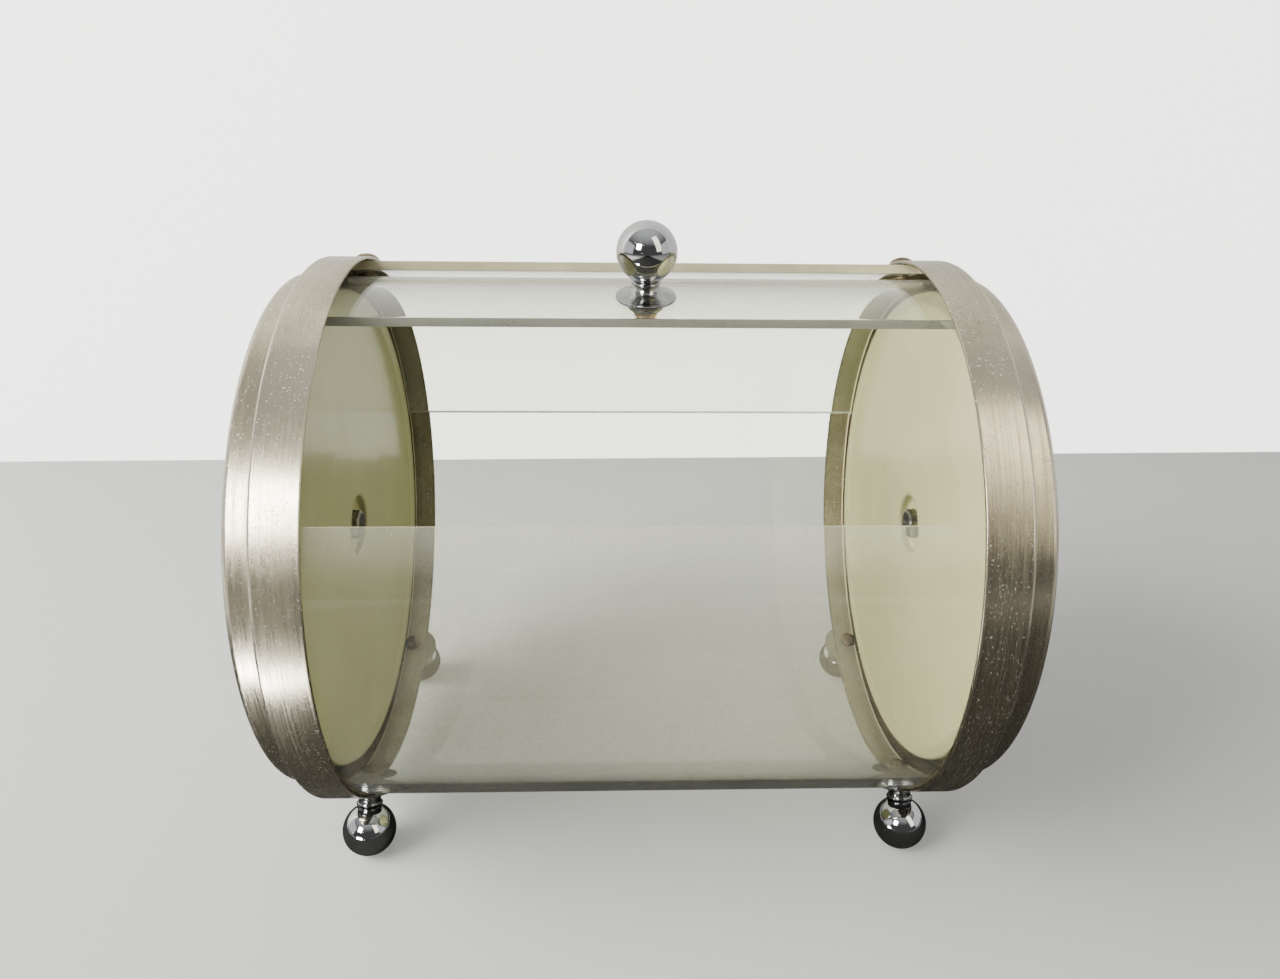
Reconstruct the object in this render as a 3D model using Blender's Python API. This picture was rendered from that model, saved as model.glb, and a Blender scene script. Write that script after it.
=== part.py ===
"""Drum box on four ball feet, with a curved clear lid that rolls back inside the drum.

The drum lies along X and its front faces -Y. An angle about the drum runs up from the front:
0 is the front, 90 the top, 180 the back and -90 the underside. A station along the drum is the
distance out from its middle, the same on the left and on the right.
"""
import math

import bmesh
import bpy
from mathutils import Matrix, Vector

# Driving dimensions, in metres and degrees
RIM_RADIUS = 0.100
RIM_STATION = 0.0962
BAND_WIDTH = 0.0148
STEP_HEIGHT = 0.0060
CAP_WIDTH = 0.0245
BAND_EDGE_ROUND = 0.0012
CAP_EDGE_ROUND = 0.0022
METAL = 0.0012
CLEAR_SHEET = 0.0032
LID_SHEET = 0.0034
FIT_GAP = 0.0003
TRACK_PLAY = 0.0004
BODY_FRONT_ANGLE = 27.0
BODY_REAR_ANGLE = 101.5
LID_FRONT_ANGLE = 72.0
LID_REAR_ANGLE = 172.0
KNOB_ANGLE = 80.6
KNOB_STATION = 0.0015
FOOT_ANGLE = 26.7
REAR_SCREW_ANGLE = 112.0
SCREW_STATION = 0.1021
BALL_RADIUS = 0.0099
BASE_RADIUS = 0.0101
BASE_FLANGE = 0.0011
BASE_HEIGHT = 0.0067
NECK_RADIUS = 0.0042
COLLAR_RADIUS = 0.0049
DISC_ROLL = 0.0014
DISC_SHEET = 0.0010
DIMPLE_RADIUS = 0.0108
DIMPLE_LIP = 0.0010
BOLT_HEAD_WIDTH = 0.0100
BOLT_HEAD_HEIGHT = 0.0040
WASHER_THICKNESS = 0.0010
CAP_NUT_RADIUS = 0.0058
CAP_NUT_SKIRT = 0.0040
CAP_NUT_DOME = 0.0048
REAR_NUT_RADIUS = 0.0045
REAR_NUT_HEIGHT = 0.0026
REAR_SCREW_END = 0.0012
HEAD_HEIGHT = 0.0016
HEAD_RADIUS = 0.0034
KNOB_HEAD_HEIGHT = 0.0022
KNOB_HEAD_RADIUS = 0.0040
CUP_RADIUS = 0.0060
CUP_HEIGHT = 0.0019
SLOT_WIDTH = 0.0009
FOOT_FLAT_DEPTH = 0.0002

# Sizes that follow from the driving ones
RIM_BORE = RIM_RADIUS - METAL
BAND_END = RIM_STATION + BAND_WIDTH
CAP_END = RIM_STATION + CAP_WIDTH
BODY_OUTER = RIM_BORE - FIT_GAP
BODY_INNER = BODY_OUTER - CLEAR_SHEET
BODY_HALF_LENGTH = RIM_STATION + 0.0089
HEAD_SEAT = BODY_INNER - FIT_GAP
LID_OUTER = HEAD_SEAT - HEAD_HEIGHT - TRACK_PLAY
LID_INNER = LID_OUTER - LID_SHEET
LID_HALF_LENGTH = BAND_END - METAL - 0.0018
DISC_RADIUS = LID_INNER - TRACK_PLAY
DISC_EDGE_STATION = RIM_STATION + 0.0078
DISC_CENTRE_STATION = DISC_EDGE_STATION + 0.0025
DIMPLE_FLOOR = DISC_CENTRE_STATION + 0.0033
BOLT_RADIUS = 0.0030
BOLT_HOLE = 0.0034
SHANK_RADIUS = 0.0020
SHANK_HOLE = 0.0024
BALL_SEAT_RADIUS = 0.0048
BALL_SEAT = math.sqrt(BALL_RADIUS ** 2 - BALL_SEAT_RADIUS ** 2)
FOOT_REACH = RIM_RADIUS + FIT_GAP + BASE_HEIGHT + FIT_GAP + BALL_SEAT
AXIS_HEIGHT = FOOT_REACH * math.cos(math.radians(FOOT_ANGLE)) + BALL_RADIUS - FOOT_FLAT_DEPTH
KNOB_REACH = LID_OUTER + FIT_GAP + BASE_HEIGHT + FIT_GAP + BALL_SEAT

DRUM_STEPS = 60
BODY_STEPS = 60
LID_STEPS = 24
BALL_STEPS = 20
HEX_STEPS = 24
SMALL_STEPS = 16
CREASE_ANGLE = 32.0
CUT_MARGIN = 0.005
ON_AXIS = 1e-7


def material(name, colour, roughness, metallic, transmission=0.0):
    """A plain finish."""
    finish = bpy.data.materials.new(name)
    finish.use_nodes = True
    shader = finish.node_tree.nodes["Principled BSDF"]
    shader.inputs["Base Color"].default_value = (*colour, 1.0)
    shader.inputs["Roughness"].default_value = roughness
    shader.inputs["Metallic"].default_value = metallic
    shader.inputs["Transmission Weight"].default_value = transmission
    finish.diffuse_color = (*colour, 1.0)
    return finish


def add_object(name, mesh, finish, parent, frame):
    """Close a bmesh into a named object, placed by its frame under its parent."""
    bmesh.ops.recalc_face_normals(mesh, faces=mesh.faces)
    data = bpy.data.meshes.new(name)
    mesh.to_mesh(data)
    mesh.free()
    data.shade_smooth()
    data.set_sharp_from_angle(angle=math.radians(CREASE_ANGLE))
    data.materials.append(finish)
    piece = bpy.data.objects.new(name, data)
    bpy.context.scene.collection.objects.link(piece)
    piece.parent = parent
    piece.location = frame.to_translation()
    piece.rotation_euler = frame.to_euler()
    return piece


def arc(centre, radius, start, end, count):
    """Points of a round stretch of an outline, with centre (along, radius) and angles in degrees."""
    points = []
    for index in range(count + 1):
        turn = math.radians(start + (end - start) * index / count)
        points.append((centre[0] + radius * math.cos(turn), centre[1] + radius * math.sin(turn)))
    return points


def turned_mesh(outline, steps):
    """Turn a closed outline of (along, radius) points about Z."""
    mesh = bmesh.new()
    rings = []
    for along, radius in outline:
        if radius < ON_AXIS:
            rings.append([mesh.verts.new((0.0, 0.0, along))])
            continue
        ring = []
        for step in range(steps):
            turn = 2.0 * math.pi * step / steps
            ring.append(mesh.verts.new((radius * math.cos(turn), radius * math.sin(turn), along)))
        rings.append(ring)
    for first, second in zip(rings, rings[1:] + rings[:1]):
        if len(first) == 1 and len(second) == 1:
            continue
        for step in range(steps):
            corners = [ring[index % len(ring)] for ring, index in (
                (first, step), (first, step + 1), (second, step + 1), (second, step))]
            mesh.faces.new(list(dict.fromkeys(corners)))
    return mesh


def turned(name, outline, steps, finish, parent, frame):
    """A turned piece: its outline turned about local Z."""
    return add_object(name, turned_mesh(outline, steps), finish, parent, frame)


def curved_sheet(name, inner, outer, angles, half_length, steps, finish, parent):
    """A sheet bent round the drum's axis between two angles."""
    mesh = bmesh.new()
    sections = []
    corners = ((-half_length, outer), (half_length, outer), (half_length, inner), (-half_length, inner))
    for step in range(steps + 1):
        turn = math.radians(angles[0] + (angles[1] - angles[0]) * step / steps)
        sections.append([
            mesh.verts.new((along, -radius * math.cos(turn), radius * math.sin(turn)))
            for along, radius in corners])
    for first, second in zip(sections, sections[1:]):
        for side in range(4):
            following = (side + 1) % 4
            mesh.faces.new((first[side], first[following], second[following], second[side]))
    mesh.faces.new(sections[0])
    mesh.faces.new(sections[-1])
    return add_object(name, mesh, finish, parent, Matrix())


def along_axis(side):
    """Frame whose local Z runs out along the drum's axis on one side."""
    return Matrix.Rotation(side * math.pi / 2.0, 4, "Y")


def radial(station, angle):
    """Frame on the drum's axis whose local Z points straight out of the drum at this angle."""
    turn = math.radians(90.0 - angle)
    return Matrix.Translation((station, 0.0, 0.0)) @ Matrix.Rotation(turn, 4, "X")


def cut(target, cutter):
    """Cut a hidden tool out of a piece."""
    cutter.hide_render = True
    cutter.display_type = "WIRE"
    boolean = target.modifiers.new("cut_" + cutter.name, "BOOLEAN")
    boolean.object = cutter
    boolean.operation = "DIFFERENCE"
    boolean.solver = "EXACT"


def rod_outline(radius, bottom, top):
    """Outline of a plain rod."""
    return [(bottom, 0.0), (bottom, radius), (top, radius), (top, 0.0)]


def washer_outline(bore, radius, bottom, top):
    """Outline of a flat washer or a plain sleeve."""
    return [(bottom, bore), (bottom, radius), (top, radius), (top, bore)]


def hexagon_reach(width, turn):
    """Distance from a hexagon's middle to its edge in one direction, from its width across the flats."""
    sector = turn % (math.pi / 3.0) - math.pi / 6.0
    return width / 2.0 / math.cos(sector)


def end_cap(side, name, finish, parent):
    """A spun metal cap: a wide band over the clear body, a step, a narrow band and a flat face."""
    small = RIM_RADIUS - STEP_HEIGHT
    band_centre = (BAND_END - BAND_EDGE_ROUND, RIM_RADIUS - BAND_EDGE_ROUND)
    edge_centre = (CAP_END - CAP_EDGE_ROUND, small - CAP_EDGE_ROUND)
    outline = [(RIM_STATION, RIM_BORE), (RIM_STATION, RIM_RADIUS)]
    outline += arc(band_centre, BAND_EDGE_ROUND, 90.0, 0.0, 2)
    outline += [(BAND_END, small)]
    outline += arc(edge_centre, CAP_EDGE_ROUND, 90.0, 0.0, 3)
    outline += [(CAP_END, BOLT_HOLE), (CAP_END - METAL, BOLT_HOLE)]
    outline += arc(edge_centre, CAP_EDGE_ROUND - METAL, 0.0, 90.0, 1)
    outline += [(BAND_END - METAL, small - METAL), (BAND_END - METAL, RIM_BORE)]
    return turned(name, outline, DRUM_STEPS, finish, parent, along_axis(side))


def inner_disc(side, name, finish, parent):
    """A pressed pan that closes the end inside, dished, with a rolled edge and a dimple for the bolt."""
    flange_end = CAP_END - METAL - FIT_GAP
    roll_centre = (DISC_EDGE_STATION + DISC_ROLL, DISC_RADIUS - DISC_ROLL)
    outline = [(flange_end, DISC_RADIUS)]
    outline += arc(roll_centre, DISC_ROLL, 90.0, 180.0, 3)
    outline += [(DISC_CENTRE_STATION, DIMPLE_RADIUS + DIMPLE_LIP)]
    outline += [(DISC_CENTRE_STATION + DIMPLE_LIP, DIMPLE_RADIUS)]
    outline += [(DIMPLE_FLOOR, DIMPLE_RADIUS - DIMPLE_LIP), (DIMPLE_FLOOR, BOLT_HOLE)]
    outline += [(DIMPLE_FLOOR + DISC_SHEET, BOLT_HOLE), (DIMPLE_FLOOR + DISC_SHEET, DIMPLE_RADIUS)]
    outline += [(DISC_CENTRE_STATION + DISC_SHEET, DIMPLE_RADIUS + 1.6 * DIMPLE_LIP)]
    outline += arc(roll_centre, DISC_ROLL - DISC_SHEET, 180.0, 90.0, 1)
    outline += [(flange_end, DISC_RADIUS - DISC_SHEET)]
    return turned(name, outline, DRUM_STEPS, finish, parent, along_axis(side))


def hex_bolt(side, name, finish, parent):
    """The centre bolt: a hexagon head inside the dimple and a shank that runs out through the cap."""
    head_back = DIMPLE_FLOOR - FIT_GAP
    tip = CAP_END + FIT_GAP + WASHER_THICKNESS + FIT_GAP + CAP_NUT_SKIRT + 0.0006
    mesh = bmesh.new()
    loops = []
    stations = ((head_back - BOLT_HEAD_HEIGHT, True), (head_back, True), (head_back, False), (tip, False))
    for along, is_head in stations:
        loop = []
        for step in range(HEX_STEPS):
            turn = 2.0 * math.pi * step / HEX_STEPS
            reach = hexagon_reach(BOLT_HEAD_WIDTH, turn) if is_head else BOLT_RADIUS
            loop.append(mesh.verts.new((reach * math.cos(turn), reach * math.sin(turn), along)))
        loops.append(loop)
    for first, second in zip(loops, loops[1:]):
        for step in range(HEX_STEPS):
            following = (step + 1) % HEX_STEPS
            mesh.faces.new((first[step], first[following], second[following], second[step]))
    mesh.faces.new(loops[0])
    mesh.faces.new(loops[-1])
    return add_object(name, mesh, finish, parent, along_axis(side))


def dome_nut(name, bottom, finish, parent, frame):
    """A low round nut, blind so that it hides the screw's end."""
    floor = bottom + REAR_SCREW_END + FIT_GAP
    outline = [(bottom, SHANK_HOLE), (bottom, REAR_NUT_RADIUS)]
    for lean in (22.0, 45.0, 68.0):
        turn = math.radians(lean)
        along = bottom + REAR_NUT_HEIGHT * math.sin(turn)
        outline.append((along, REAR_NUT_RADIUS * math.cos(turn)))
    outline += [(bottom + REAR_NUT_HEIGHT, 0.0), (floor, 0.0), (floor, SHANK_HOLE)]
    return turned(name, outline, SMALL_STEPS, finish, parent, frame)


def cap_nut(side, name, finish, parent):
    """The domed nut outside each cap, blind so that it hides the bolt's end."""
    seat = CAP_END + FIT_GAP + WASHER_THICKNESS + FIT_GAP
    skirt = seat + CAP_NUT_SKIRT
    floor = skirt + 0.0016
    outline = [(seat, BOLT_HOLE), (seat, CAP_NUT_RADIUS), (skirt, CAP_NUT_RADIUS), (skirt, CAP_NUT_DOME)]
    outline += arc((skirt, 0.0), CAP_NUT_DOME, 70.0, 20.0, 2)
    outline += [(skirt + CAP_NUT_DOME, 0.0), (floor, 0.0), (floor, BOLT_HOLE)]
    return turned(name, outline, SMALL_STEPS, finish, parent, along_axis(side))


def ball_base(name, finish, parent, frame, seat):
    """The flanged neck that a ball stands on, from its seat up to the ball."""
    outline = [(0.0, SHANK_HOLE), (0.0, BASE_RADIUS), (BASE_FLANGE, BASE_RADIUS)]
    outline += [(0.24 * BASE_HEIGHT, 0.74 * BASE_RADIUS), (0.42 * BASE_HEIGHT, 0.51 * BASE_RADIUS)]
    outline += [(0.72 * BASE_HEIGHT, NECK_RADIUS), (0.82 * BASE_HEIGHT, COLLAR_RADIUS)]
    outline += [(BASE_HEIGHT, COLLAR_RADIUS), (BASE_HEIGHT, SHANK_HOLE)]
    place = frame @ Matrix.Translation((0.0, 0.0, seat))
    return turned(name, outline, SMALL_STEPS, finish, parent, place)


def ball_mesh():
    """A ball about its own centre, with a small flat towards its neck and a blind hole for the screw."""
    start = 180.0 - math.degrees(math.asin(BALL_SEAT_RADIUS / BALL_RADIUS))
    outline = [(-0.0002, 0.0), (-0.0002, SHANK_HOLE), (-BALL_SEAT, SHANK_HOLE)]
    outline += arc((0.0, 0.0), BALL_RADIUS, start, 16.0, 8)
    outline += [(BALL_RADIUS, 0.0)]
    return turned_mesh(outline, BALL_STEPS)


def foot_ball(name, finish, parent, frame):
    """A ball foot with a small level flat where it stands."""
    mesh = ball_mesh()
    into_local = frame.to_3x3().inverted()
    floor = into_local @ (Vector((0.0, 0.0, -AXIS_HEIGHT)) - frame.to_translation())
    down = into_local @ Vector((0.0, 0.0, -1.0))
    geometry = mesh.verts[:] + mesh.edges[:] + mesh.faces[:]
    flat = bmesh.ops.bisect_plane(
        mesh, geom=geometry, plane_co=floor, plane_no=down, clear_outer=True)
    rim = [item for item in flat["geom_cut"] if isinstance(item, bmesh.types.BMEdge)]
    bmesh.ops.contextual_create(mesh, geom=rim)
    return add_object(name, mesh, finish, parent, frame)


def round_head_screw(name, end, finish, parent, frame, head=(HEAD_SEAT, HEAD_RADIUS, HEAD_HEIGHT)):
    """A slotted round-head screw whose head lies inside its seat and whose shank runs outwards."""
    seat, radius, height = head
    crown = seat - height
    outline = [(crown, 0.0), (crown + 0.05 * height, 0.35 * radius)]
    outline += [(crown + 0.25 * height, 0.7 * radius), (crown + 0.6 * height, 0.94 * radius)]
    outline += [(seat, radius), (seat, SHANK_RADIUS), (end, SHANK_RADIUS), (end, 0.0)]
    screw = turned(name, outline, SMALL_STEPS, finish, parent, frame)
    slot = bmesh.new()
    bmesh.ops.create_cube(slot, size=1.0)
    bmesh.ops.scale(slot, verts=slot.verts, vec=(3.0 * radius, SLOT_WIDTH, height))
    bmesh.ops.translate(slot, verts=slot.verts, vec=(0.0, 0.0, crown))
    cut(screw, add_object("slot_" + name, slot, finish, parent, frame))
    return screw


def make_end(side, word, finishes, housing):
    """One end of the drum, with its rear upper fixing."""
    steel = finishes["steel"]
    chrome = finishes["chrome"]
    cap = end_cap(side, word + "_end_cap", finishes["cap"], housing)
    inner_disc(side, word + "_inner_disc", finishes["cream"], housing)
    hex_bolt(side, word + "_centre_bolt", steel, housing)
    inside = DIMPLE_FLOOR + DISC_SHEET + FIT_GAP
    spacer = washer_outline(BOLT_HOLE, 0.0060, inside, CAP_END - METAL - FIT_GAP)
    turned(word + "_centre_spacer", spacer, SMALL_STEPS, steel, housing, along_axis(side))
    outside = CAP_END + FIT_GAP
    washer = washer_outline(BOLT_HOLE, 0.0075, outside, outside + WASHER_THICKNESS)
    turned(word + "_outer_washer", washer, SMALL_STEPS, chrome, housing, along_axis(side))
    cap_nut(side, word + "_cap_nut", chrome, housing)
    frame = radial(side * SCREW_STATION, REAR_SCREW_ANGLE)
    nut_seat = RIM_RADIUS + FIT_GAP
    round_head_screw(word + "_rear_screw", nut_seat + REAR_SCREW_END, steel, housing, frame)
    dome_nut(word + "_rear_nut", nut_seat, steel, housing, frame)
    return cap


def make_foot(side, angle, word, finishes, housing):
    """One ball foot and the screw that holds it, the rim and the clear body together."""
    frame = radial(side * SCREW_STATION, angle)
    ball_frame = frame @ Matrix.Translation((0.0, 0.0, FOOT_REACH))
    ball_base("foot_base_" + word, finishes["chrome"], housing, frame, RIM_RADIUS + FIT_GAP)
    foot_ball("foot_ball_" + word, finishes["chrome"], housing, ball_frame)
    round_head_screw("foot_screw_" + word, FOOT_REACH - 0.0012, finishes["steel"], housing, frame)


def make_knob(finishes, pivot):
    """The lid's knob: ball, flanged neck, and the screw and cup washer that hold them from below."""
    frame = radial(KNOB_STATION, KNOB_ANGLE)
    ball_frame = frame @ Matrix.Translation((0.0, 0.0, KNOB_REACH))
    ball_base("knob_base", finishes["chrome"], pivot, frame, LID_OUTER + FIT_GAP)
    add_object("knob_ball", ball_mesh(), finishes["chrome"], pivot, ball_frame)
    top = LID_INNER - TRACK_PLAY
    low = top - CUP_HEIGHT
    cup = [(top, SHANK_HOLE), (top, CUP_RADIUS), (top - 0.4 * CUP_HEIGHT, 0.97 * CUP_RADIUS)]
    cup += [(low, 0.75 * CUP_RADIUS), (low, SHANK_HOLE)]
    turned("knob_washer", cup, SMALL_STEPS, finishes["chrome"], pivot, frame)
    round_head_screw(
        "knob_screw", KNOB_REACH - 0.0012, finishes["brass"], pivot, frame,
        head=(low - FIT_GAP, KNOB_HEAD_RADIUS, KNOB_HEAD_HEIGHT))


def main():
    for old in list(bpy.data.objects):
        bpy.data.objects.remove(old)
    finishes = {
        "cap": material("brushed_nickel", (0.66, 0.63, 0.56), 0.34, 1.0),
        "cream": material("cream_enamel", (0.74, 0.73, 0.60), 0.18, 0.0),
        "clear": material("clear_acrylic", (0.90, 0.93, 0.88), 0.04, 0.0, 1.0),
        "chrome": material("chrome", (0.86, 0.87, 0.88), 0.06, 1.0),
        "steel": material("zinc_steel", (0.52, 0.51, 0.49), 0.32, 1.0),
        "brass": material("brass", (0.62, 0.47, 0.27), 0.30, 1.0),
    }
    housing = bpy.data.objects.new("housing", None)
    pivot = bpy.data.objects.new("lid_pivot", None)
    for empty in (housing, pivot):
        bpy.context.scene.collection.objects.link(empty)
        empty.location = (0.0, 0.0, AXIS_HEIGHT)

    body_angles = (BODY_FRONT_ANGLE, BODY_REAR_ANGLE - 360.0)
    body = curved_sheet(
        "clear_body", BODY_INNER, BODY_OUTER, body_angles, BODY_HALF_LENGTH,
        BODY_STEPS, finishes["clear"], housing)
    lid_angles = (LID_FRONT_ANGLE, LID_REAR_ANGLE)
    lid = curved_sheet(
        "lid", LID_INNER, LID_OUTER, lid_angles, LID_HALF_LENGTH,
        LID_STEPS, finishes["clear"], pivot)
    make_knob(finishes, pivot)
    through_lid = rod_outline(SHANK_HOLE, LID_INNER - CUT_MARGIN, LID_OUTER + CUT_MARGIN)
    knob_hole = turned(
        "knob_hole", through_lid, SMALL_STEPS, finishes["clear"], pivot,
        radial(KNOB_STATION, KNOB_ANGLE))
    cut(lid, knob_hole)
    through_rim = rod_outline(SHANK_HOLE, BODY_INNER - CUT_MARGIN, RIM_RADIUS + CUT_MARGIN)
    rear_foot_angle = -90.0 - FOOT_ANGLE
    front_foot_angle = FOOT_ANGLE - 90.0

    for side, word in ((-1, "left"), (1, "right")):
        cap = make_end(side, word, finishes, housing)
        make_foot(side, front_foot_angle, "front_" + word, finishes, housing)
        make_foot(side, rear_foot_angle, "rear_" + word, finishes, housing)
        places = (("front", front_foot_angle), ("rear", rear_foot_angle), ("upper", REAR_SCREW_ANGLE))
        for place, angle in places:
            hole = turned(
                "hole_" + place + "_" + word, through_rim, SMALL_STEPS, finishes["clear"], housing,
                radial(side * SCREW_STATION, angle))
            cut(cap, hole)
            cut(body, hole)


main()
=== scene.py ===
"""Looks of a clear roll-top drum box with stepped metal ends, a ball knob and ball feet.

The drum lies along X and its front faces -Y. An angle about the drum runs up from the front:
0 is the front, 90 the top, 180 the back and -90 the underside. A station is a distance along
the drum, out from its middle. Lengths are in metres.
"""

import math

import bmesh
import bpy
from mathutils import Matrix, Vector


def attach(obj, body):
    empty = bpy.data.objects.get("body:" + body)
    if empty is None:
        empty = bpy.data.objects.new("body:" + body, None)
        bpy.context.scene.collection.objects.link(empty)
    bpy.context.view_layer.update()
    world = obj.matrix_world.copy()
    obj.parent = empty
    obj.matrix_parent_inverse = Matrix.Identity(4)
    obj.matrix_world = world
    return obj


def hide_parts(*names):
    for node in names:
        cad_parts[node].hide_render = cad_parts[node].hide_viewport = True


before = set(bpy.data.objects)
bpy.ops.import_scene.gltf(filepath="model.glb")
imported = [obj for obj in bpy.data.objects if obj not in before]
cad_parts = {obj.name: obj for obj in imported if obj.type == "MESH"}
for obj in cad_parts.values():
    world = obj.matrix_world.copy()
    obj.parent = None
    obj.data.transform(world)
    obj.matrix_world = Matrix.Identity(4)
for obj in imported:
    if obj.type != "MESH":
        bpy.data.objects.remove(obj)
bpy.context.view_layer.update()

# Sizes of the drum, as in the CAD
RIM_RADIUS = 0.100
RIM_STATION = 0.0962
BAND_END = 0.1110
CAP_END = 0.1207
BAND_EDGE_ROUND = 0.0012
CAP_EDGE_ROUND = 0.0022
STEP_RADIUS = 0.0940
METAL = 0.0012
RIM_BORE = RIM_RADIUS - METAL
FIT_GAP = 0.0003
BODY_OUTER = 0.0985
BODY_INNER = 0.0953
BODY_HALF_LENGTH = 0.1051
BODY_ANGLES = (27.0, -258.5)
LID_OUTER = 0.0930
LID_INNER = 0.0896
LID_HALF_LENGTH = 0.1080
LID_ANGLES = (72.0, 172.0)
KNOB_ANGLE = 80.6
KNOB_STATION = 0.0015
FOOT_ANGLES = {"front": -63.3, "rear": -116.7}
REAR_SCREW_ANGLE = 112.0
SCREW_STATION = 0.1021
AXIS_HEIGHT = 0.113293

# Sizes of the inner discs, bolts, screws and balls, as in the CAD
DISC_RADIUS = 0.0892
DISC_EDGE_STATION = 0.1040
DISC_CENTRE_STATION = 0.1065
DISC_ROLL = 0.0014
DISC_SHEET = 0.0010
DIMPLE_RADIUS = 0.0108
DIMPLE_FLOOR = 0.1098
DIMPLE_LIP = 0.0010
BOLT_RADIUS = 0.0030
BOLT_HOLE = 0.0034
BOLT_HEAD_WIDTH = 0.0100
BOLT_HEAD_HEIGHT = 0.0040
SPACER_RADIUS = 0.0060
WASHER_RADIUS = 0.0075
WASHER_THICKNESS = 0.0010
CAP_NUT_RADIUS = 0.0058
CAP_NUT_SKIRT = 0.0040
CAP_NUT_DOME = 0.0048
CAP_NUT_FLOOR = 0.0016
SHANK_RADIUS = 0.0020
SHANK_HOLE = 0.0024
HEAD_SEAT = 0.0950
HEAD_RADIUS = 0.0034
HEAD_HEIGHT = 0.0016
REAR_NUT_RADIUS = 0.0045
REAR_NUT_HEIGHT = 0.0026
REAR_SCREW_END = 0.0012
BALL_RADIUS = 0.0099
BALL_SEAT_RADIUS = 0.0048
BALL_SEAT = math.sqrt(BALL_RADIUS ** 2 - BALL_SEAT_RADIUS ** 2)
BALL_HOLE_END = -0.0002
BALL_SCREW_END = 0.0012
BASE_RADIUS = 0.0101
BASE_FLANGE = 0.0011
BASE_HEIGHT = 0.0067
COLLAR = 0.0049
FOOT_REACH = RIM_RADIUS + FIT_GAP + BASE_HEIGHT + FIT_GAP + BALL_SEAT
KNOB_REACH = LID_OUTER + FIT_GAP + BASE_HEIGHT + FIT_GAP + BALL_SEAT
CUP_RADIUS = 0.0060
CUP_HEIGHT = 0.0019
CUP_TOP = LID_INNER - 0.0004
KNOB_HEAD_RADIUS = 0.0040
KNOB_HEAD_HEIGHT = 0.0022
SLOT_WIDTH = 0.0009

# Small roundings, and the bead under a ball, that only the looks have
CAP_FILLET = 0.0007
SHEET_EDGE_ROUND = 0.00025
DIMPLE_ROUND = 0.0008
BEAD_RADIUS = 0.0008
BEAD_HEIGHT = 0.0057
NUT_TIP_RADIUS = 0.0001

# Fineness of the meshes
DRUM_STEPS = 256
SHEET_STEPS = 192
BALL_STEPS = 72
SMALL_STEPS = 72
CREASE_ANGLE = 34.0
ON_AXIS = 1e-7

# Pitch of the turned lines in the metal, and the length over which a line changes
FINE_LINES = (0.00050, 0.220)
WIDE_LINES = (0.0014, 0.300)

# Colours of wear, dust and grime on the finishes, and of the shade and highlights painted on them
NICKEL_PIT = (0.12, 0.09, 0.05)
NICKEL_DUST = (0.80, 0.77, 0.68)
# Worn edges of the metal caps, lightened further as a painted highlight
NICKEL_WORN_EDGE_HIGHLIGHT = (0.74, 0.69, 0.56)
# Painted shade in the creases of the metal caps
NICKEL_CREASE_SHADE = (0.09, 0.075, 0.045)
CHROME_SMEAR = (0.18, 0.175, 0.16)
CHROME_PIT = (0.10, 0.095, 0.085)
CREAM_FRESH = (0.69, 0.675, 0.375)
CREAM_AGED = (0.61, 0.595, 0.31)
# Painted shade on the cream discs, towards the rim
CREAM_RIM_SHADE = (0.40, 0.385, 0.24)
# Painted shade on the discs' rolled edges
CREAM_ROLL_SHADE = (0.15, 0.135, 0.075)
# Painted shade in the dimple round the bolt
CREAM_WELL_SHADE = (0.22, 0.20, 0.11)
CREAM_DIRT = (0.24, 0.21, 0.11)
SETTLED_DUST = (0.52, 0.47, 0.35)

# Camera: where it stands from the drum's axis, where it looks, and its lens
CAMERA_OFFSET = Vector((-0.0106, -0.3166, 0.1642))
CAMERA_YAW = -0.0369
CAMERA_PITCH = 0.4408
CAMERA_ROLL = 0.0151
CAMERA_LENS = 25.81
CAMERA_SENSOR = 36.0

# Stage: what the eye sees, what the metals mirror, and what lights dull surfaces
WALL_DISTANCE = 0.33
WALL_SKEW = 1.2
WALL_HEIGHT = 2.0
WALL_WIDTH = 6.0
WALL_COLOUR = (0.44, 0.44, 0.43)
WALL_GLOW_COLOUR = (1.0, 0.99, 0.96)
WALL_SEEN = 3.1
WALL_MIRRORED = 0.70
WALL_LIGHTING = 0.16
FLOOR_WIDTH = 8.0
FLOOR_SEEN = (0.58, 0.59, 0.58)
FLOOR_MIRRORED_NEAR = (0.05, 0.05, 0.05)
FLOOR_MIRRORED_FAR = (0.45, 0.45, 0.44)
FLOOR_NEAR = 0.42
FLOOR_FAR = 0.58
FLOOR_GLOW = 0.20
FLOOR_GLOW_COLOUR = (1.0, 1.0, 0.98)
ROOM_SEEN = (2.4, 2.4, 2.34)
ROOM_EYE_LEVEL = 0.085
ROOM_CEILING = 0.78
ROOM_LIGHTING = 0.38


# ---------------------------------------------------------------- finishes

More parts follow.
